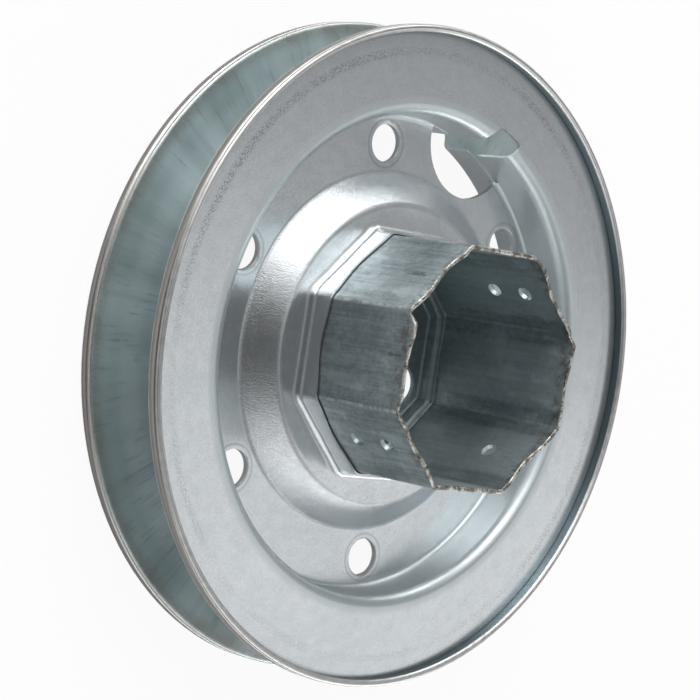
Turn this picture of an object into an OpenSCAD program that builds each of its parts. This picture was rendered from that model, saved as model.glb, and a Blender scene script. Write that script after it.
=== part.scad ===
// Roller shutter strap pulley: two pressed discs back to back, drawn octagonal socket through both.
// Units are millimetres. +Z is the pulley's axis and the socket's mouth is up.
// The part stands on the rear disc's rim, which is the plane z = 0.

/* [Sheet] */
// Sheet thickness of the two discs
disc_t = 0.8; // [0.6:0.1:1.5]
// Sheet thickness of the drawn socket
socket_t = 1.15; // [0.8:0.05:2]

/* [Disc rims and strap groove] */
// Outer diameter over the hemmed rims
outer_d = 165.5; // [140:0.5:200]
// Width from rim to rim
total_w = 28.2; // [22:0.1:40]
// Height of the face in which the two webs meet, above the rear rim
joint_z = 12.7; // [10:0.1:18]
// Height of the hem above the flange's outside face
hem_h = 2.9; // [2:0.1:5]
// Gap between the two layers of the hem
hem_gap = 0.3; // [0.1:0.05:0.6]
// Gap between the hem's raw edge and the flange
hem_edge_gap = 0.1; // [0.1:0.05:1]
// Inside radius between flange and hem
hem_foot_r = 0.35; // [0.2:0.05:2]
// Radius of the front flange's turn into its recess
front_bend_r = 3; // [1:0.1:5]
// Radius of the rear flange's turn into its recess
rear_bend_r = 1.4; // [1:0.1:5]

/* [Recess and boss] */
// Diameter of the recess at its floor
recess_d = 120.5; // [100:0.5:140]
// How much wider the recess is at its top, per side
step_draft = 0.25; // [0:0.05:1]
// Inside radius at the foot of the recess wall
step_foot_r = 1.4; // [0.6:0.1:3]
// Diameter of the boss at its foot
boss_base_d = 90.6; // [80:0.2:100]
// Diameter of the boss at its shoulder
boss_top_d = 75.6; // [70:0.2:85]
// Height of the front boss above its recess floor
front_boss_h = 6.2; // [2:0.1:8]
// Height of the rear boss above its recess floor
rear_boss_h = 4; // [2:0.1:8]
// Radius at the foot of the boss
boss_base_r = 2.4; // [1:0.1:4]
// Radius of the boss's shoulder
boss_shoulder_r = 3; // [1:0.1:4]

/* [Collar round the socket] */
// Height of the collar at its corners above the boss
collar_h = 6.4; // [4:0.1:9]
// Drop of the collar's edge at the middle of each flat
collar_dip = 1.3; // [0:0.1:2]
// Outside radius at the collar's foot
collar_foot_r = 2.2; // [1:0.1:3]
// Gap between collar and socket
collar_clear = 0.03; // [0:0.01:0.2]
// Size of the broken edge inside the collar's lip
collar_ease = 0.3; // [0.1:0.05:0.5]

/* [Octagonal socket] */
// Distance across the socket's flats
socket_af = 59; // [50:0.1:70]
// Outside radius of the socket's corners
socket_corner_r = 2.6; // [1.5:0.1:4]
// Mean height of the socket's mouth above the rear rim
socket_top = 52.6; // [45:0.1:70]
// Height of the ledge inside the socket
ledge_z = 9.6; // [7:0.1:12]
// Width of the ledge
ledge_w = 2.1; // [1.5:0.05:3]
// Height of the floor inside the socket
floor_z = 6; // [4:0.1:7]
// Radius between floor and ledge, to the middle of the sheet
floor_bend_r = 1.3; // [1:0.1:2]
// Size of the mouth's broken edges
mouth_ease = 0.25; // [0.1:0.05:0.4]

/* [Round holes] */
// Diameter of the holes in the webs
web_hole_d = 9.5; // [6:0.5:12]
// Pitch circle of the holes in the webs
web_hole_pcd = 105.6; // [100:0.2:110]
// Number of holes in the webs
web_hole_n = 6; // [3:1:8]
// Direction of the first hole in the webs
web_hole_start = 37.5; // [0:0.5:60]
// Width of the pressed-down edge round the holes in the webs
web_hole_ease = 0.5; // [0.2:0.1:1.5]
// Diameter of the fixing screw holes in the socket
screw_d = 4; // [3:0.1:6]
// Diameter of the holes in the socket's floor
floor_hole_d = 10; // [6:0.5:12]
// Distance of the holes in the floor from the axis
floor_hole_pos = 20.5; // [17:0.5:22]
// Width of the pressed-down edge round the holes in the floor
floor_hole_ease = 0.6; // [0.2:0.1:1]
// Diameter of the bore for the axle pin
pin_bore_d = 12; // [8:0.5:16]
// Length of the bore's drawn edge, from the floor's inside face
drawn_len = 2.9; // [2:0.1:4]
// Wall of the drawn edge
drawn_t = 0.8; // [0.5:0.1:1.2]

/* [Strap hole and slot] */
// Direction of the strap hole and slot
strap_dir = 67.5; // [60:0.5:75]
// Diameter of the strap hole
strap_hole_d = 30; // [20:1:34]
// Distance of the strap hole's centre from the axis
strap_hole_pos = 62.2; // [58:0.2:64]
// Width of the strap slot
slot_w = 8.9; // [6:0.1:14]
// Angle between the strap slot and the radius
slot_lean = 24.7; // [0:0.1:35]
// Distance of the slot's end in the front flange from the axis
slot_end = 65.4; // [63:0.1:70]
// Distance of the slot's end in the rear flange from the axis
rear_slot_end = 64.2; // [63:0.1:70]
// Where the front slot crosses the recess wall, sideways from the strap hole's middle
slot_mid = 0.9; // [-3:0.1:3]
// The same for the rear slot
rear_slot_mid = 2.6; // [-3:0.1:3]
// Radius of the slot's blunt corner
slot_blunt_r = 2; // [1:0.1:3]
// Radius of the slot's sharp corner
slot_sharp_r = 1.3; // [0.5:0.1:3]

/* [Hidden] */
half_t = disc_t / 2;
// Stations along each flat, from its middle
stations = [-9, -6, -3, 0, 3, 6, 9];
// Half the length over which the collar's edge dips
dip_half = 12;
arc_n = 4;
// How far the collar's foot goes into the boss's flat top
lap = 0.7;
// Rise and fall of the drawn mouth at the stations of each flat, from the flat at +X onwards
mouth_flat = [
    [0.65, 0.7, 0.5, 0.6, 1.1, 1.3, 1.8], [-0.3, -0.7, -0.9, -0.8, -0.25, 0.55, 0.8],
    [-0.1, 0.1, 0.2, 0.3, 0.3, 0.4, 0.4], [0.5, -0.7, -1.1, -0.8, -0.1, 0.4, 0.1],
    [1.9, 1.8, 1.15, 0.7, 0.7, 0.85, 0.9], [0.2, 0.1, -0.4, -0.5, 0.05, 0.35, -0.1],
    [-0.3, -0.3, -0.3, -0.3, -0.3, -0.3, -0.3], [0.15, -0.25, -0.65, -0.4, 0.2, 0.6, 0.7]];
// The same at the corners, each after the flat of the same place in the list
mouth_corner = [-0.2, -0.4, 0.25, -0.4, 0.1, -0.5, -0.2, 0.5];
// Fixing screw holes as direction and height
screws = [[45, 32.9], [45, 43.1], [225, 32.9], [225, 43.1], [315, 39]];
// Directions of the holes in the socket's floor
floor_holes = [157.5, 337.5];

function unit(v) = v / norm(v);
function xy(c) = [c.x, c.y];

// Arc of n steps and radius r that rounds corner b on the way from a to c
function bend(a, b, c, r, n) =
    let (u = unit(a - b), w = unit(c - b), half = acos(u * w) / 2,
         m = b + unit(u + w) * r / sin(half), p = b + u * r / tan(half) - m,
         turn = (180 - 2 * half) * sign(cross(b - a, c - b)))
    [for (k = [0:n]) let (g = turn * k / n)
        m + [p.x * cos(g) - p.y * sin(g), p.x * sin(g) + p.y * cos(g)]];

// Path through corners [x, y, bend radius, steps], with every bend rounded
function path(c) = [for (i = [0:len(c) - 1]) each
    (i == 0 || i == len(c) - 1 || c[i][2] == 0) ? [xy(c[i])]
    : bend(xy(c[i - 1]), xy(c[i]), xy(c[i + 1]), c[i][2], c[i][3])];

// The path moved sideways by d, to its left for a positive d
function side(p, d) = [for (i = [0:len(p) - 1])
    let (a = unit(i > 0 ? p[i] - p[i - 1] : p[1] - p[0]),
         b = i < len(p) - 1 ? unit(p[i + 1] - p[i]) : a, m = unit(a + b))
    p[i] + [-m.y, m.x] * d / (m * a)];

function back(p) = [for (i = [len(p) - 1:-1:0]) p[i]];

// Closed outline of a sheet of thickness t whose middle follows the path p
function sheet(p, t) = concat(side(p, t / 2), back(side(p, -t / 2)));

// Middle of a disc's sheet from the hem's raw edge in to the boss's flat top, for a web on the
// face web_z, a boss of height boss and a turn of radius bend_r into the recess
function disc_path(web_z, boss, bend_r) =
    let (out = outer_d / 2 - half_t, in = out - disc_t - hem_gap, top = total_w - half_t,
         face = total_w - hem_h - half_t, web = web_z + half_t, flat = web + boss,
         hem_r = (disc_t + hem_gap) / 2 - 0.01, wall = recess_d / 2 + half_t)
    path([[in, total_w - hem_h + hem_edge_gap, 0, 0], [in, top, hem_r, 4], [out, top, hem_r, 4],
          [out, face, hem_foot_r + half_t, 4],
          [wall + step_draft, face, bend_r - half_t, 5],
          [wall, web, step_foot_r + half_t, 4],
          [boss_base_d / 2, web, boss_base_r + half_t, 3],
          [boss_top_d / 2, flat, boss_shoulder_r - half_t, 3],
          [socket_af / 2 - 2, flat, 0, 0]]);

// Octagon with apothem a, corner radius r and the given heights
function octagon(a, r, flat_z, corner_z) = [for (k = [0:7]) each concat(
    [for (i = [0:len(stations) - 1]) let (s = stations[i], f = 45 * k)
        [a * cos(f) - s * sin(f), a * sin(f) + s * cos(f), flat_z[k][i]]],
    [for (j = [0:arc_n]) let (g = 45 * k + 45 * j / arc_n, c = 45 * k + 22.5,
                              m = (a - r) / cos(22.5))
        [m * cos(c) + r * cos(g), m * sin(c) + r * sin(g), corner_z[k]]])];

// The same height all round
function level(z) = [for (k = [0:7]) [for (s = stations) z]];
function corners(z) = [for (k = [0:7]) z];

ring_n = 8 * (len(stations) + arc_n + 1);

// Triangles between ring i and ring j of a skin
function band(i, j) = [for (k = [0:ring_n - 1]) let (n = (k + 1) % ring_n, p = i * ring_n, q = j * ring_n)
    each [[p + k, q + n, p + n], [p + k, q + k, q + n]]];

// Height of the collar's edge above the boss at a station
function edge_h(s) = collar_h - collar_dip * (1 + cos(180 * s / dip_half)) / 2;

// The two cup outlines share this: apothem p.x, height p.y, corner radius kept in step with the wall
function cup_ring(p) =
    octagon(p.x, max(0.8, socket_corner_r - (socket_af / 2 - p.x)), level(p.y), corners(p.y));

// Ring of the drawn mouth at apothem a, down from the mouth's edge by d
function mouth_ring(a, d) = octagon(a, max(0.8, socket_corner_r - (socket_af / 2 - a)),
    [for (row = mouth_flat) [for (v = row) socket_top + v - d]], [for (v = mouth_corner) socket_top + v - d]);

// Pressed octagonal collar on a boss whose top is at top_z: foot in the boss's flat top, turn,
// upright wall with a dipping edge
module collar(top_z) {
    inner = socket_af / 2 + collar_clear;
    mid = inner + half_t;
    turn_r = collar_foot_r + half_t;
    flat = top_z - half_t;
    turn = path([[mid + turn_r + lap, flat, 0, 0], [mid, flat, turn_r, 4], [mid, flat + turn_r + 1, 0, 0]]);
    out = side(turn, -half_t);
    in = side(turn, half_t);
    last = len(turn) - 2;
    low = [for (i = [1:last]) out[i]];
    up = [for (i = [last:-1:1]) in[i]];
    edge = [for (k = [0:7]) [for (s = stations) top_z + edge_h(s)]];
    tip = corners(top_z + edge_h(dip_half));
    foot_h = half_t - 0.15;
    rings = concat(
        [octagon(mid + turn_r + lap, socket_corner_r + turn_r + lap, level(flat - foot_h), corners(flat - foot_h)),
         octagon(mid + turn_r + lap, socket_corner_r + turn_r + lap, level(flat + foot_h), corners(flat + foot_h))],
        [for (p = low) octagon(p.x, socket_corner_r + p.x - inner, level(p.y), corners(p.y))],
        [octagon(mid + half_t, socket_corner_r + disc_t, edge, tip),
         octagon(inner + collar_ease, socket_corner_r + collar_ease, edge, tip),
         octagon(inner, socket_corner_r, [for (row = edge) [for (v = row) v - collar_ease]],
                 [for (v = tip) v - collar_ease])],
        [for (p = up) octagon(p.x, socket_corner_r + p.x - inner, level(p.y), corners(p.y))]);
    n = len(rings);
    polyhedron(points = [for (r = rings) each r], faces = [for (i = [0:n - 1]) each band(i, (i + 1) % n)],
               convexity = 6);
}

// Octagonal opening in the boss's flat top under the collar's turn
module collar_hole(top_z) {
    a = socket_af / 2 + collar_clear + disc_t + collar_foot_r - 0.1;
    translate([0, 0, top_z - disc_t - 1])
        linear_extrude(height = disc_t + 2)
            polygon([for (p = octagon(a, socket_corner_r + a - socket_af / 2, level(0), corners(0))) xy(p)]);
}

// Strap slot through the recess wall, with its notch in the flange: it crosses the wall at mid and
// leans to the side lean (1 or -1) on its way to end
module strap_slot(web_z, end, mid, lean) {
    foot = recess_d / 2;
    half = slot_w / 2 / cos(slot_lean);
    fall = -lean * tan(slot_lean);
    low = [for (r = [foot - 7, end]) mid - half + fall * (r - foot)];
    high = [for (r = [foot - 7, end]) mid + half + fall * (r - foot)];
    low_r = lean > 0 ? slot_sharp_r : slot_blunt_r;
    high_r = lean > 0 ? slot_blunt_r : slot_sharp_r;
    rotate([0, 0, strap_dir])
        translate([0, 0, web_z - 1])
            linear_extrude(height = total_w - web_z + 2)
                polygon(path([[foot - 7, low[0], 0, 0], [end, low[1], low_r, 5],
                              [end, high[1], high_r, 5], [foot - 7, high[0], 0, 0]]));
}

// Strap hole in the web, which ends at the recess wall
module strap_hole(web_z) {
    intersection() {
        translate([0, 0, web_z - 1])
            cylinder(d = recess_d, h = step_foot_r + disc_t + 3, $fn = 96);
        rotate([0, 0, strap_dir])
            translate([strap_hole_pos, 0, web_z - 1])
                cylinder(d = strap_hole_d, h = step_foot_r + disc_t + 3, $fn = 96);
    }
}

// Hole in the web with its pressed-down edge
module web_hole(web_z) {
    translate([web_hole_pcd / 2, 0, web_z - 1])
        cylinder(d = web_hole_d, h = disc_t + 2, $fn = 48);
    translate([web_hole_pcd / 2, 0, web_z + disc_t - 0.2])
        cylinder(d1 = web_hole_d, d2 = web_hole_d + 2 * web_hole_ease, h = 0.2 + 0.001, $fn = 48);
}

// One pressing: hemmed rim, flange, recess wall, web on the face web_z, boss and octagonal collar
module disc(web_z, boss, bend_r, notch_end, notch_mid, notch_lean) {
    top_z = web_z + disc_t + boss;
    difference() {
        union() {
            difference() {
                rotate_extrude($fn = 120) polygon(sheet(disc_path(web_z, boss, bend_r), disc_t));
                collar_hole(top_z);
            }
            collar(top_z);
        }
        strap_slot(web_z, notch_end, notch_mid, notch_lean);
        strap_hole(web_z);
        for (k = [0:web_hole_n - 1]) rotate([0, 0, web_hole_start + 360 * k / web_hole_n]) web_hole(web_z);
    }
}

module front_disc() {
    color([0.70, 0.73, 0.75]) disc(joint_z, front_boss_h, front_bend_r, slot_end, slot_mid, 1);
}

module rear_disc() {
    color([0.66, 0.69, 0.71]) translate([0, 0, total_w]) mirror([0, 0, 1])
        disc(total_w - joint_z, rear_boss_h, rear_bend_r, rear_slot_end, rear_slot_mid, -1);
}

// Deep-drawn octagonal cup with a ledge, a floor and an eared mouth
module cup() {
    h = socket_t / 2;
    wall = socket_af / 2 - h;
    pan = wall - ledge_w;
    p = path([[wall, socket_top, 0, 0], [wall, ledge_z - h, 0.85, 2], [pan, ledge_z - h, 0.75, 2],
              [pan, floor_z - h, floor_bend_r, 3], [pan - 3, floor_z - h, 0, 0]]);
    n = len(p) - 1;
    outside = back(side(p, h));
    inside = side(p, -h);
    a = socket_af / 2;
    rings = concat(
        [for (i = [0:n - 1]) cup_ring(outside[i])],
        [mouth_ring(a, mouth_ease), mouth_ring(a - mouth_ease, 0),
         mouth_ring(a - socket_t + mouth_ease, 0), mouth_ring(a - socket_t, mouth_ease)],
        [for (i = [1:n]) cup_ring(inside[i])]);
    m = len(rings);
    under = m * ring_n;
    last = (m - 1) * ring_n;
    polyhedron(points = concat([for (r = rings) each r], [[0, 0, outside[0].y], [0, 0, inside[n].y]]),
               faces = concat([for (i = [0:m - 2]) each band(i, i + 1)],
                              [for (k = [0:ring_n - 1]) [under, k, (k + 1) % ring_n]],
                              [for (k = [0:ring_n - 1]) [under + 1, last + (k + 1) % ring_n, last + k]]),
               convexity = 6);
}

// Socket with its screw holes, floor holes and the drawn edge of its bore
module octagonal_socket() {
    color([0.42, 0.46, 0.47]) difference() {
        union() {
            cup();
            translate([0, 0, floor_z - drawn_len])
                cylinder(d = pin_bore_d + 2 * drawn_t, h = drawn_len - socket_t / 2, $fn = 48);
        }
        for (g = floor_holes) rotate([0, 0, g]) translate([floor_hole_pos, 0, 0]) {
            translate([0, 0, floor_z - socket_t - 1]) cylinder(d = floor_hole_d, h = socket_t + 2, $fn = 48);
            translate([0, 0, floor_z - 0.25])
                cylinder(d1 = floor_hole_d, d2 = floor_hole_d + 2 * floor_hole_ease, h = 0.251, $fn = 48);
        }
        translate([0, 0, floor_z - drawn_len - 1])
            cylinder(d = pin_bore_d, h = drawn_len + 2, $fn = 48);
        for (s = screws) rotate([0, 0, s[0]])
            translate([socket_af / 2 - socket_t - 3, 0, s[1]])
                rotate([0, 90, 0]) cylinder(d = screw_d, h = socket_t + 6, $fn = 32);
    }
}

front_disc();
rear_disc();
octagonal_socket();
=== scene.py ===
"""Looks of a pressed-steel roller shutter strap pulley: zinc finishes, floor, studio light, camera."""

import math

import bmesh
import bpy
import numpy as np
from mathutils import Matrix


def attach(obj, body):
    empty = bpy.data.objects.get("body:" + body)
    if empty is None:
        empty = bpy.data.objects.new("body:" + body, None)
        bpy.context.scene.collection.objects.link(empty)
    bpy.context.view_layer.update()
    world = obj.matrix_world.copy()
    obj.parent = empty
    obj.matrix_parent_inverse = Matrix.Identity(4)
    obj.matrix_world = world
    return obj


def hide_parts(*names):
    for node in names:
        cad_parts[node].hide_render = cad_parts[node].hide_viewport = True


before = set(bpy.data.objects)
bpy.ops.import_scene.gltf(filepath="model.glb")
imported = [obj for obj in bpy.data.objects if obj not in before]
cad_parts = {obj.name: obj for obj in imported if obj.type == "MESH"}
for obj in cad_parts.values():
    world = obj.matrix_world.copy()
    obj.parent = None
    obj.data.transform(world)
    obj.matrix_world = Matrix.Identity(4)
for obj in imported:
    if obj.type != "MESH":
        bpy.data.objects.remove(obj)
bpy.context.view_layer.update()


# Camera: the photograph's place and lens, worked out from the pulley's circles and octagon (metres).
LENS_MM = 119.49
SENSOR_MM = 36.0
CAMERA_PLACE = (-0.41822, 0.01315, 0.42673)
VIEW_DOWN = math.radians(44.775)      # how far the view looks down
VIEW_TURN = math.radians(-0.025)      # heading of the view, from +X
CAMERA_ROLL = math.radians(98.60)     # the photograph shows the axis lying
SHIFT = (-0.0386, -0.0711)
CLIP = (0.02, 20.0)

# The finishes' places are distances from the axis (R) and heights, in metres. A pair says where a
# finish comes in: none at its first number, full at its second. Of four numbers, the last two say
# where it begins to go and where it is gone.

# On the discs, heights are counted from the plane half way between the rims, up and down alike.
MIDDLE_Z = 0.0141
BOSS_CONE_R = (0.0372, 0.0380, 0.0452, 0.0460)
RECESS_BENDS_R = (0.0580, 0.0600, 0.0635, 0.0655)
FLANGE_R = (0.0640, 0.0655)
FLANGE_HEIGHT = (0.0105, 0.0109)
# Where the flange is painted darker into its corner with the rim: painted shade.
FLANGE_CORNER_R = (0.0796, 0.0809)
PRESS_RING_R = (0.0744, 0.0756, 0.0764, 0.0776)
PRESS_RING_ARC = (0.6, 1.3, 2.5, 3.0)     # angles in radians: the arc where the ring is strongest
# The web holes: radius of their circle, angle of the first in degrees, and how many there are.
WEB_HOLES = (0.0528, 37.5, 6)
HOLE_RING_R = (0.00560, 0.00600, 0.00620, 0.00660)     # from the hole's own middle

# The groove that the strap lies in, between the flanges.
GROOVE_R = (0.0612, 0.0622)
GROOVE_HEIGHT = (0.0109, 0.0105)
GROOVE_SHINE_R = (0.0660, 0.0700, 0.0720, 0.0760)
GROOVE_GRIME_R = (0.0775, 0.0815)
GROOVE_DOTS_R = (0.0797, 0.0806)

# The folded rims.
RIM_CREST_HEIGHT = (0.01325, 0.0136)
# Where the painted shade of the gap between the rim's layers runs along the fold.
RIM_FOLD_R = (0.08165, 0.08178, 0.08188, 0.08200)
# Where the outer wall's painted shade gives way to the inner wall's darker one.
RIM_INNER_WALL_R = (0.0817, 0.0815)
RIM_OUTER_WALL_R = (0.0824, 0.0826)
RIM_WALL_MIDDLE = 0.0125      # height of the middle of the outer wall
RIM_SWELL = 420.0             # how fast the wall falls from its middle, in metres per square metre
# Where the painted highlight along the outer wall's foot lies.
RIM_FOOT_R = (0.0819, 0.0821)
RIM_FOOT_HEIGHT = (0.01165, 0.01135)

# The socket. Its heights, and those of its mouth, are counted from the floor (Z).
SOCKET_INSIDE_R = (0.0296, 0.0290)
# Heights over which the painted shade deep in the cup comes in.
SOCKET_DEEP_Z = (0.020, 0.008)
SOCKET_RUBBED_Z = (0.026, 0.048)
# Where the painted highlight along the octagon's corners lies.
SOCKET_CORNERS_R = (0.03164, 0.03171)
NEAR_MOUTH_Z = (0.030, 0.049)
MOUTH_RUST_Z = (0.0492, 0.0516)

# Which faces have which finish. A rim's faces are those beyond RIM_FROM_R and over RIM_FROM_HEIGHT,
# and all beyond RIM_BEYOND_R. The seam's are within SEAM_R, over SEAM_HEIGHT, and sloping. The mouth's
# are over MOUTH_Z and face up. How level a face lies is its normal's Z: 1 on a floor, 0 on a wall.
RIM_FROM_R = 0.0806
RIM_FROM_HEIGHT = 0.01125
RIM_BEYOND_R = 0.0823
SEAM_R = 0.0335
SEAM_HEIGHT = 0.0098
SLOPING_FROM, SLOPING_TO = 0.4, 0.9
MOUTH_Z = 0.0490
# Corners nearer than this are merged, slivers shorter than this go, and edges over this angle stay sharp.
MERGE_WITHIN = 2e-6
SLIVER = 1e-6
SHARP_FROM = math.radians(32.0)

# Radii at which the patterns that run round the axis have their true size.
ROUND_FLANGE = 0.075
ROUND_RIM = 0.0825
ROUND_SOCKET = 0.03

# Share of metal in the zinc's shading, on faces and in the groove; the rest scatters as its crystals do.
SHEEN_OF_ZINC = 0.86
SHEEN_IN_GROOVE = 0.72
# Depths of the finest relief, in metres.
SHEET_RELIEF = 0.00004
DRAWN_RELIEF = 0.00005
SHEARED_RELIEF = 0.00012

# Studio: the room's even light, and its dark side, which is behind the camera.
WORLD_LIGHT = 0.355
DARK_LIGHT = 0.023
DARK_SIDE = (-0.70, -0.06, 0.71)
DARK_FROM, DARK_TO = 0.68, 0.95
# The floor: its half width, its grey, how much white it shows to the camera, and the share of that
# which it shows in reflections.
FLOOR_HALF = 6.0
FLOOR_GREY = 0.86
FLOOR_GLOW = 0.93
FLOOR_GLOW_MIRRORED = 0.25

# The lamps, all turned towards one point: direction round the axis and above the floor in degrees,
# width and height in metres, and power in watts.
LAMP_DISTANCE = 1.35
LAMP_AIM = (0, 0, 0.02)
LAMPS = {
    "key": (107, 37, 1.2, 0.85, 6.9),
    "key_middle": (98, 30, 0.5, 0.5, 3.5),
    "key_high": (90, 62, 0.8, 0.6, 1.8),
    "key_side": (64, 13, 0.55, 0.4, 3.2),
    "key_low": (128, 12, 0.9, 0.4, 6.9),
    "fill": (-86, 26, 1.2, 0.8, 3.4),
    "fill_back": (-121, 36, 0.7, 0.6, 0.8),
    "fill_front": (-26, 40, 0.95, 0.95, 2.1),
    "fill_low": (-54, 8, 0.8, 0.4, 4.3),
}


def placed(right, up, back, place):
    """Matrix of an object at place whose own X, Y and Z point along right, up and back."""
    m = np.eye(4)
    m[:3, 0], m[:3, 1], m[:3, 2], m[:3, 3] = right, up, back, place
    return Matrix(m.tolist())


def toward(turn, lift):
    """Unit vector whose heading from +X is turn and whose angle above the floor is lift, in radians."""
    return np.array([math.cos(lift) * math.cos(turn), math.cos(lift) * math.sin(turn), math.sin(lift)])


def put_camera():
    """Camera from its place, heading, downward look and roll about the view."""
    ahead = toward(VIEW_TURN, -VIEW_DOWN)
    level = np.cross(ahead, (0, 0, 1))
    level /= np.linalg.norm(level)
    upright = np.cross(level, ahead)
    c, s = math.cos(CAMERA_ROLL), math.sin(CAMERA_ROLL)
    right, up = c * level + s * upright, -s * level + c * upright
    data = bpy.data.cameras.new("camera")
    data.lens, data.sensor_width, data.sensor_fit = LENS_MM, SENSOR_MM, "HORIZONTAL"
    data.shift_x, data.shift_y = SHIFT
    data.clip_start, data.clip_end = CLIP
    camera = bpy.data.objects.new("camera", data)
    bpy.context.scene.collection.objects.link(camera)
    camera.matrix_world = placed(right, up, -ahead, CAMERA_PLACE)
    bpy.context.scene.camera = camera


class Nodes:
    """Short words for building one material's nodes."""

    def __init__(self, name):
        self.material = bpy.data.materials.new(name)
        self.material.use_nodes = True
        self.tree = self.material.node_tree
        self.tree.nodes.clear()
        self.out = self.new("ShaderNodeOutputMaterial")
        self.place = self.new("ShaderNodeTexCoord").outputs["Object"]

    def new(self, kind, **settings):
        """A new node of this kind, with these settings."""
        node = self.tree.nodes.new(kind)
        for key, value in settings.items():
            setattr(node, key, value)
        return node

    def put(self, socket, value):
        """Links a socket to an output, or sets it to a number or colour."""
        if isinstance(value, bpy.types.NodeSocket):
            self.tree.links.new(value, socket)
        else:
            socket.default_value = value

    def math(self, operation, a, b=0.0):
        """Result of the operation on a, or on a and b."""
        node = self.new("ShaderNodeMath", operation=operation)
        self.put(node.inputs[0], a)
        self.put(node.inputs[1], b)
        return node.outputs[0]

    def times(self, first, *others):
        """Product of the values."""
        for value in others:
            first = self.math("MULTIPLY", first, value)
        return first

    def plus(self, first, *others):
        """Sum of the values."""
        for value in others:
            first = self.math("ADD", first, value)
        return first

    def weighed(self, *pairs):
        """Sum of the pairs' values, each times its weight."""
        return self.plus(*(self.times(value, weight) for value, weight in pairs))

    def length(self, x, y):
        """Length of the flat vector (x, y)."""
        return self.math("SQRT", self.plus(self.times(x, x), self.times(y, y)))

    def span(self, value, low, high, first=0.0, last=1.0):
        """The value mapped from low..high to first..last, smoothed and clamped."""
        node = self.new("ShaderNodeMapRange", interpolation_type="SMOOTHSTEP")
        for i, v in enumerate((value, low, high, first, last)):
            self.put(node.inputs[i], v)
        return node.outputs[0]

    def ring(self, value, edges, rest=0.0):
        """1 between the middle two of four edges, and rest before the first and after the last."""
        start, full, going, end = edges
        return self.times(self.span(value, start, full, rest), self.span(value, end, going, rest))

    def polar(self):
        """Distance from the axis, angle about it and height, from Object coordinates."""
        apart = self.new("ShaderNodeSeparateXYZ")
        self.put(apart.inputs[0], self.place)
        x, y, z = apart.outputs
        return self.length(x, y), self.math("ARCTAN2", y, x), z

    def from_middle(self, z):
        """Height above or below the plane half way between the rims."""
        return self.math("ABSOLUTE", self.math("SUBTRACT", z, MIDDLE_Z))

    def hole_distance(self, place_r, first, count):
        """Distance from the nearest of count holes on the circle place_r, the first at first degrees.

        The angle is folded into one hole's share of the circle, so one distance serves for all.
        """
        r, angle, _ = self.polar()
        share = 2 * math.pi / count
        turned = self.plus(angle, 2 * math.pi - math.radians(first) + share / 2)
        folded = self.math("SUBTRACT", self.math("MODULO", turned, share), share / 2)
        along = self.math("SUBTRACT", self.times(r, self.math("COSINE", folded)), place_r)
        return self.length(along, self.times(r, self.math("SINE", folded)))

    def vector(self, x, y, z):
        """One vector from its three parts."""
        node = self.new("ShaderNodeCombineXYZ")
        for socket, value in zip(node.inputs, (x, y, z)):
            self.put(socket, value)
        return node.outputs[0]

    def round_place(self, round_scale, out_scale, up_scale):
        """A place whose pattern closes round the axis.

        It is the angle's (cos, sin) times round_scale, plus r times out_scale in X and z times
        up_scale in Z.
        """
        r, angle, z = self.polar()
        around = [self.times(self.math(part, angle), round_scale) for part in ("COSINE", "SINE")]
        node = self.new("ShaderNodeVectorMath", operation="ADD")
        self.put(node.inputs[0], self.vector(*around, 0.0))
        self.put(node.inputs[1], self.vector(self.times(r, out_scale), 0.0, self.times(z, up_scale)))
        return node.outputs[0]

    def noise(self, place, scale, detail=2.0, roughness=0.5):
        """Cloudy noise about one half."""
        node = self.new("ShaderNodeTexNoise")
        self.put(node.inputs["Vector"], place)
        node.inputs["Scale"].default_value = scale
        node.inputs["Detail"].default_value = detail
        node.inputs["Roughness"].default_value = roughness
        return node.outputs["Fac"]

    def mix(self, share, a, b):
        """Colour between a and b by share."""
        node = self.new("ShaderNodeMix", data_type="RGBA")
        self.put(node.inputs["Factor"], share)
        self.put(node.inputs["A"], a)
        self.put(node.inputs["B"], b)
        return node.outputs["Result"]

    def bump(self, height, distance, strength=1.0, normal=None):
        """Normal of a relief whose height is in units of distance, over another relief's normal if given."""
        node = self.new("ShaderNodeBump")
        node.inputs["Strength"].default_value = strength
        node.inputs["Distance"].default_value = distance
        self.put(node.inputs["Height"], height)
        if normal is not None:
            self.put(node.inputs["Normal"], normal)
        return node.outputs["Normal"]

    def finish(self, colour, roughness, normal=None, sheen=SHEEN_OF_ZINC):
        """The material, from its colour, roughness, relief and share of metal."""
        shader = self.new("ShaderNodeBsdfPrincipled")
        self.put(shader.inputs["Metallic"], sheen)
        self.put(shader.inputs["Base Color"], colour)
        self.put(shader.inputs["Roughness"], roughness)
        if normal is not None:
            self.put(shader.inputs["Normal"], normal)
        self.put(self.out.inputs["Surface"], shader.outputs[0])
        return self.material


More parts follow.
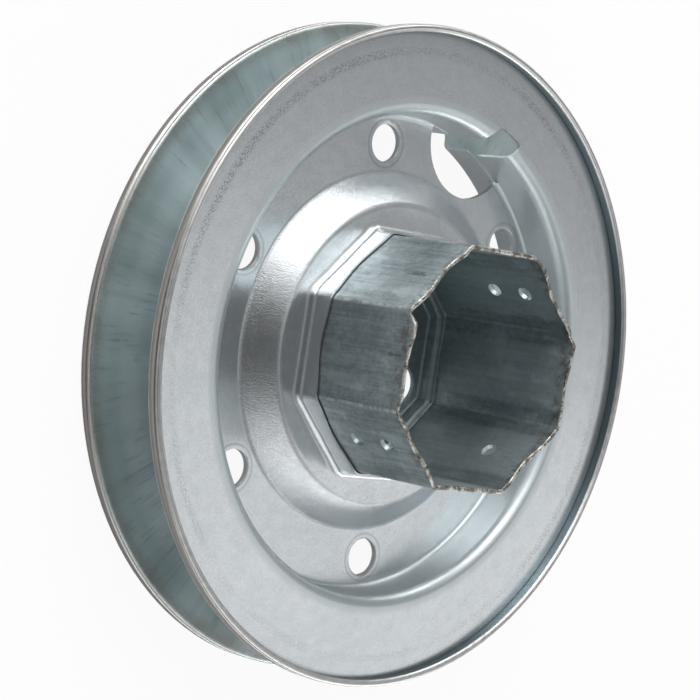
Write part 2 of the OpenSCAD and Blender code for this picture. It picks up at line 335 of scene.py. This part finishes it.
def groove_zinc(n, colour, groove):
    """Adds to colour what the strap's groove shows: radial streaks, a shiny band, grime by the rim."""
    r, _, _ = n.polar()
    wide = n.span(n.noise(n.round_place(ROUND_FLANGE, 0.06, 0.0), 150.0, 4.0, 0.6), 0.42, 0.66)
    thin = n.span(n.noise(n.round_place(ROUND_FLANGE, 0.10, 0.0), 820.0, 3.0, 0.6), 0.50, 0.66)
    broken = n.span(n.noise(n.round_place(ROUND_FLANGE, 1.0, 0.0), 110.0, 3.0, 0.6), 0.44, 0.60)
    streaks = n.weighed((wide, 0.26), (n.times(thin, broken), 0.36))
    grime = n.times(n.span(r, *GROOVE_GRIME_R), n.span(broken, 0.0, 1.0, 0.6, 1.0))
    dots = n.times(n.span(r, *GROOVE_DOTS_R), n.span(n.noise(n.place, 2200.0), 0.50, 0.60))
    colour = n.mix(n.times(n.ring(r, GROOVE_SHINE_R), groove, 0.30), colour, (0.780, 0.832, 0.858, 1))
    colour = n.mix(n.times(streaks, groove), colour, (0.195, 0.240, 0.247, 1))
    colour = n.mix(n.times(grime, groove, 0.62), colour, (0.305, 0.293, 0.254, 1))
    return n.mix(n.times(dots, groove, 0.45), colour, (0.260, 0.286, 0.338, 1))


def press_marks(n, face):
    """Ring of fine scratches that the press left on the flange, stronger on one arc."""
    r, angle, _ = n.polar()
    patches = n.span(n.noise(n.round_place(ROUND_FLANGE, 0.5, 0.0), 24.0, 2.0, 0.5), 0.38, 0.58, 0.35, 1.0)
    scratches = n.span(n.noise(n.place, 2600.0, 2.0, 0.7), 0.49, 0.58)
    return n.times(n.ring(r, PRESS_RING_R), face, patches, n.ring(angle, PRESS_RING_ARC, 0.4), scratches)


def disc_zinc(name):
    """Zinc-plated sheet: fine even grain, press marks, rings round the holes, streaks in the groove, and
    painted shade where the flange meets the rim.
    """
    n = Nodes(name)
    r, _, z = n.polar()
    height = n.from_middle(z)
    groove = n.times(n.span(r, *GROOVE_R), n.span(height, *GROOVE_HEIGHT))
    face = n.times(n.span(r, *FLANGE_R), n.span(height, *FLANGE_HEIGHT))
    bends = n.ring(r, RECESS_BENDS_R)
    cone = n.ring(r, BOSS_CONE_R)

    clouds = n.noise(n.place, 22.0, 4.0, 0.55)
    mottle = n.noise(n.place, 330.0, 4.0, 0.65)
    smear = n.noise(n.round_place(0.03, 1.0, 0.4), 300.0, 4.0, 0.7)
    grain = n.noise(n.place, 1700.0, 2.0, 0.6)
    tone = n.weighed((clouds, 0.18), (mottle, 0.28), (smear, 0.20), (grain, 0.34))
    colour = n.mix(n.span(tone, 0.38, 0.62), (0.543, 0.571, 0.586, 1), (0.634, 0.660, 0.679, 1))
    bands = n.noise(n.round_place(ROUND_FLANGE, 0.10, 0.0), 40.0, 3.0, 0.6)
    groove_tone = n.mix(n.span(bands, 0.40, 0.60), (0.450, 0.530, 0.533, 1), (0.600, 0.695, 0.710, 1))
    colour = n.mix(groove, colour, groove_tone)

    specks = n.span(n.noise(n.place, 1500.0, 2.0, 0.6), 0.67, 0.76)
    colour = n.mix(n.times(specks, 0.28), colour, (0.195, 0.215, 0.221, 1))
    marks = press_marks(n, face)
    colour = n.mix(n.times(marks, 0.9), colour, (0.182, 0.195, 0.208, 1))
    peel = n.noise(n.place, 2300.0, 3.0, 0.75)
    colour = n.mix(n.times(cone, n.span(peel, 0.44, 0.58, 0.0, 0.16)), colour, (0.312, 0.319, 0.338, 1))
    hole_rings = n.ring(n.hole_distance(*WEB_HOLES), HOLE_RING_R)
    colour = n.mix(n.times(hole_rings, 0.30), colour, (0.208, 0.227, 0.234, 1))
    colour = groove_zinc(n, colour, groove)
    colour = n.mix(n.times(bends, 0.50), colour, (0.533, 0.605, 0.617, 1))
    # Painted shade: the flange darkens into its corner with the rim.
    corner_shade = n.times(n.span(r, *FLANGE_CORNER_R), face)
    colour = n.mix(n.times(corner_shade, 0.45), colour, (0.130, 0.163, 0.176, 1))

    duller = n.times(n.math("MAXIMUM", groove, bends), 0.14)
    roughness = n.plus(n.span(tone, 0.36, 0.64, 0.27, 0.25), duller)
    turned = n.noise(n.round_place(0.02, 1.0, 1.0), 900.0, 3.0, 0.6)
    relief = n.weighed((turned, 0.30), (mottle, 0.10), (grain, 0.14), (n.times(peel, cone), 3.2))
    relief = n.math("SUBTRACT", relief, n.times(n.plus(hole_rings, marks), 0.5))
    sheen = n.span(groove, 0.0, 1.0, SHEEN_OF_ZINC, SHEEN_IN_GROOVE)
    return n.finish(colour, roughness, n.bump(relief, SHEET_RELIEF, 0.6), sheen)


def hem_zinc(name):
    """Folded rim: pale worn crest; painted shade as a fine dark line along its fold and on both walls,
    darkest on the inner one; a painted highlight along the outer wall's foot.

    The outer wall's relief falls with the square of the distance from the wall's middle, so the flat
    stretch between its two bends shades on as they do.
    """
    n = Nodes(name)
    r, _, z = n.polar()
    height = n.from_middle(z)
    wear = n.noise(n.round_place(ROUND_RIM, 1.0, 1.0), 420.0, 3.0, 0.6)
    # Painted shade: both walls of the rim are painted far darker than the zinc elsewhere, the inner one
    # darkest.
    painted_wall_shade = n.mix(n.span(r, *RIM_INNER_WALL_R), (0.280, 0.273, 0.264, 1), (0.150, 0.192, 0.208, 1))
    pale = n.mix(wear, (0.481, 0.484, 0.481, 1), (0.728, 0.725, 0.715, 1))
    colour = n.mix(n.span(height, *RIM_CREST_HEIGHT), painted_wall_shade, pale)
    # Painted shade: a fine dark line along the fold, for the gap between the rim's layers.
    colour = n.mix(n.times(n.ring(r, RIM_FOLD_R), 0.70), colour, (0.208, 0.195, 0.182, 1))
    # Painted highlight: a pale cream line along the foot of the outer wall.
    foot_highlight = n.times(n.span(height, *RIM_FOOT_HEIGHT), n.span(r, *RIM_FOOT_R))
    colour = n.mix(n.times(foot_highlight, 0.8), colour, (0.858, 0.832, 0.780, 1))
    across = n.math("SUBTRACT", height, RIM_WALL_MIDDLE)
    swell = n.times(across, across, n.span(r, *RIM_OUTER_WALL_R), -RIM_SWELL)
    normal = n.bump(wear, SHEET_RELIEF, 0.5, n.bump(swell, 1.0))
    return n.finish(colour, n.span(wear, 0.3, 0.7, 0.28, 0.38), normal)


def socket_zinc(name):
    """Deep-drawn sheet: dark zinc with streaks along the draw, pale rubbed smears and black smuts; painted
    paler inside for light and darker deep down for shade, with a painted highlight along the corners.
    """
    n = Nodes(name)
    r, _, z = n.polar()
    inside = n.span(r, *SOCKET_INSIDE_R)
    streaks = n.noise(n.round_place(ROUND_SOCKET, 0.0, 0.045), 900.0, 5.0, 0.78)
    broad = n.noise(n.round_place(ROUND_SOCKET, 0.0, 0.12), 210.0, 3.0, 0.6)
    clouds = n.noise(n.place, 80.0, 4.0, 0.65)
    mottle = n.noise(n.place, 620.0, 4.0, 0.7)
    tone = n.weighed((streaks, 0.34), (mottle, 0.28), (broad, 0.18), (clouds, 0.20))
    colour = n.mix(n.span(tone, 0.40, 0.60), (0.254, 0.302, 0.316, 1), (0.468, 0.523, 0.536, 1))

    # Painted light: the inside of the cup is painted paler, for the light that reaches into it.
    colour = n.mix(n.times(inside, 0.45), colour, (0.572, 0.663, 0.676, 1))
    # Painted shade: darker deep down inside the cup.
    deep_shade = n.times(inside, n.span(z, *SOCKET_DEEP_Z))
    colour = n.mix(n.times(deep_shade, 0.35), colour, (0.130, 0.156, 0.163, 1))
    smears = n.span(n.weighed((broad, 0.4), (clouds, 0.6)), 0.52, 0.62)
    rubbed = n.times(smears, n.span(z, *SOCKET_RUBBED_Z, 0.30, 1.0))
    colour = n.mix(n.times(rubbed, 0.42), colour, (0.806, 0.858, 0.871, 1))
    # Painted highlight: a broken pale line along the octagon's corners.
    breaks = n.span(n.noise(n.round_place(ROUND_SOCKET, 0.0, 1.0), 260.0, 3.0, 0.7), 0.42, 0.56)
    corners = n.times(n.span(r, *SOCKET_CORNERS_R), n.plus(n.times(breaks, 0.50), 0.08))
    colour = n.mix(corners, colour, (0.920, 0.920, 0.920, 1))
    smuts = n.span(n.noise(n.round_place(ROUND_SOCKET, 0.0, 0.30), 170.0, 4.0, 0.7), 0.60, 0.70)
    colour = n.mix(n.times(smuts, n.span(z, *NEAR_MOUTH_Z), 0.70), colour, (0.065, 0.072, 0.072, 1))
    spots = n.span(n.noise(n.place, 1000.0, 2.0, 0.6), 0.68, 0.78)
    colour = n.mix(n.times(spots, 0.45), colour, (0.091, 0.098, 0.098, 1))
    rust = n.times(n.span(z, *MOUTH_RUST_Z), n.span(n.noise(n.place, 520.0, 4.0, 0.7), 0.44, 0.60))
    colour = n.mix(n.times(rust, 0.65), colour, (0.176, 0.137, 0.107, 1))

    roughness = n.plus(n.span(tone, 0.36, 0.64, 0.44, 0.34), n.times(inside, 0.08))
    relief = n.weighed((streaks, 0.35), (mottle, 0.45), (clouds, 0.4))
    return n.finish(colour, roughness, n.bump(relief, DRAWN_RELIEF, 0.6))


def cut_edge(name):
    """Sheared edge of the sheet: bare metal, pale and brownish in turns, with black pits."""
    n = Nodes(name)
    patches = n.noise(n.place, 420.0, 3.0, 0.7)
    pits = n.span(n.noise(n.place, 1500.0, 2.0, 0.6), 0.55, 0.66)
    colour = n.mix(n.span(patches, 0.40, 0.60), (0.169, 0.156, 0.137, 1), (0.650, 0.650, 0.611, 1))
    colour = n.mix(n.times(pits, 0.85), colour, (0.039, 0.036, 0.033, 1))
    return n.finish(colour, n.span(patches, 0.3, 0.7, 0.50, 0.34), n.bump(patches, SHEARED_RELIEF, 0.8))


def seam_shade(name):
    """Black in the seam between a collar and the socket: painted shade of the gap between them."""
    n = Nodes(name)
    breaks = n.noise(n.place, 700.0, 3.0, 0.6)
    colour = n.mix(n.span(breaks, 0.45, 0.75), (0.016, 0.017, 0.018, 1), (0.130, 0.143, 0.143, 1))
    return n.finish(colour, n.span(breaks, 0.3, 0.7, 0.75, 0.5), sheen=0.0)


def disc_finish(centres, normals):
    """Finish 1 on the folded rim, 2 on the broken edge inside the collar's lip, 0 elsewhere."""
    radius = np.hypot(centres[:, 0], centres[:, 1])
    height = np.abs(centres[:, 2] - MIDDLE_Z)
    rim = ((radius > RIM_FROM_R) & (height > RIM_FROM_HEIGHT)) | (radius > RIM_BEYOND_R)
    inwards = np.sum(centres[:, :2] * normals[:, :2], axis=1) < 0
    level = np.abs(normals[:, 2])
    sloping = (level > SLOPING_FROM) & (level < SLOPING_TO)
    seam = (radius < SEAM_R) & (height > SEAM_HEIGHT) & inwards & sloping
    return np.where(seam, 2, rim)


def socket_finish(centres, normals):
    """Finish 1 on the mouth's edge, which faces up at the top; finish 0 elsewhere."""
    return (centres[:, 2] > MOUTH_Z) & (normals[:, 2] > SLOPING_FROM)


def smooth_copy(node, name, finishes, pick):
    """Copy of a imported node, merged and smoothed, that stands for it.

    Its corners are merged, so the shading runs on over the facets of one bend, and its sharp edges
    stay sharp. pick(centres, normals) returns which of the finishes each face has.
    """
    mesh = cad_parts[node].data.copy()
    mesh.name = name
    work = bmesh.new()
    work.from_mesh(mesh)
    bmesh.ops.remove_doubles(work, verts=work.verts, dist=MERGE_WITHIN)
    bmesh.ops.dissolve_degenerate(work, edges=work.edges, dist=SLIVER)
    work.to_mesh(mesh)
    work.free()
    mesh.materials.clear()
    for finish in finishes:
        mesh.materials.append(finish)
    count = len(mesh.polygons)
    centres, normals = np.empty(3 * count, np.float32), np.empty(3 * count, np.float32)
    mesh.polygons.foreach_get("center", centres)
    mesh.polygons.foreach_get("normal", normals)
    chosen = pick(centres.reshape(-1, 3), normals.reshape(-1, 3)).astype(np.int32)
    mesh.polygons.foreach_set("material_index", chosen)
    mesh.shade_smooth()
    mesh.set_sharp_from_angle(angle=SHARP_FROM)
    piece = bpy.data.objects.new(name, mesh)
    bpy.context.scene.collection.objects.link(piece)
    weigh = piece.modifiers.new("flat_faces_stay_flat", "WEIGHTED_NORMAL")
    weigh.mode, weigh.weight, weigh.keep_sharp = "FACE_AREA_WITH_ANGLE", 50, True
    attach(piece, "root")
    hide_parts(node)


def put_floor():
    """Plain pale floor that shows white to the camera, less so in reflections, and keeps the shadow."""
    n = Nodes("pale_floor")
    matt = n.new("ShaderNodeBsdfDiffuse")
    matt.inputs["Color"].default_value = (FLOOR_GREY, FLOOR_GREY, FLOOR_GREY, 1)
    glow = n.new("ShaderNodeEmission")
    glow.inputs["Color"].default_value = (1, 1, 1, 1)
    rays = n.new("ShaderNodeLightPath").outputs
    mirrored = n.math("MAXIMUM", rays["Is Glossy Ray"], rays["Is Transmission Ray"])
    seen = n.math("MAXIMUM", rays["Is Camera Ray"], n.times(mirrored, FLOOR_GLOW_MIRRORED))
    both = n.new("ShaderNodeMixShader")
    n.put(both.inputs[0], n.times(seen, FLOOR_GLOW))
    n.put(both.inputs[1], matt.outputs[0])
    n.put(both.inputs[2], glow.outputs[0])
    n.put(n.out.inputs["Surface"], both.outputs[0])
    half = FLOOR_HALF
    corners = [(-half, -half, 0), (half, -half, 0), (half, half, 0), (-half, half, 0)]
    mesh = bpy.data.meshes.new("floor")
    mesh.from_pydata(corners, [], [(0, 1, 2, 3)])
    mesh.materials.append(n.material)
    floor = bpy.data.objects.new("floor", mesh)
    bpy.context.scene.collection.objects.link(floor)


def put_world():
    """Pale surroundings: white to the camera, an even grey as light, darker behind the camera."""
    world = bpy.data.worlds.new("studio")
    bpy.context.scene.world = world
    world.use_nodes = True
    tree = world.node_tree
    tree.nodes.clear()
    kinds = ("OutputWorld", "Background", "Background", "MixShader", "LightPath", "TexCoord", "VectorMath",
             "MapRange")
    nodes = [tree.nodes.new("ShaderNode" + kind) for kind in kinds]
    out, white, soft, both, rays, heading, behind, fall = nodes
    white.inputs["Color"].default_value = (1, 1, 1, 1)
    white.inputs["Strength"].default_value = 1.0
    soft.inputs["Color"].default_value = (0.97, 0.99, 1.0, 1)
    behind.operation = "DOT_PRODUCT"
    behind.inputs[1].default_value = DARK_SIDE
    fall.interpolation_type = "SMOOTHSTEP"
    for i, v in enumerate((DARK_FROM, DARK_TO, WORLD_LIGHT, DARK_LIGHT)):
        fall.inputs[i + 1].default_value = v
    tree.links.new(heading.outputs["Generated"], behind.inputs[0])
    tree.links.new(behind.outputs["Value"], fall.inputs[0])
    tree.links.new(fall.outputs[0], soft.inputs["Strength"])
    tree.links.new(rays.outputs["Is Camera Ray"], both.inputs[0])
    tree.links.new(soft.outputs[0], both.inputs[1])
    tree.links.new(white.outputs[0], both.inputs[2])
    tree.links.new(both.outputs[0], out.inputs[0])


def put_light(name, azimuth, elevation, width, height, power):
    """Soft light of width by height at the lamps' distance from the aimed point, turned towards it."""
    data = bpy.data.lights.new(name, "AREA")
    data.shape, data.size, data.size_y, data.energy = "RECTANGLE", width, height, power
    light = bpy.data.objects.new(name, data)
    back = toward(math.radians(azimuth), math.radians(elevation))
    side = toward(math.radians(azimuth + 90), 0.0)
    light.matrix_world = placed(side, np.cross(back, side), back, np.array(LAMP_AIM) + LAMP_DISTANCE * back)
    bpy.context.scene.collection.objects.link(light)


smooth_copy("front_disc", "front_disc_zinc_sheet",
            [disc_zinc("front_disc_zinc"), hem_zinc("front_hem_zinc"), seam_shade("front_seam")], disc_finish)
smooth_copy("rear_disc", "rear_disc_zinc_sheet",
            [disc_zinc("rear_disc_zinc"), hem_zinc("rear_hem_zinc"), seam_shade("rear_seam")], disc_finish)
smooth_copy("octagonal_socket", "drawn_octagonal_cup",
            [socket_zinc("socket_zinc"), cut_edge("mouth_edge")], socket_finish)

put_floor()
put_world()
for lamp, values in LAMPS.items():
    put_light(lamp, *values)
put_camera()
bpy.context.scene.view_settings.view_transform = "Standard"
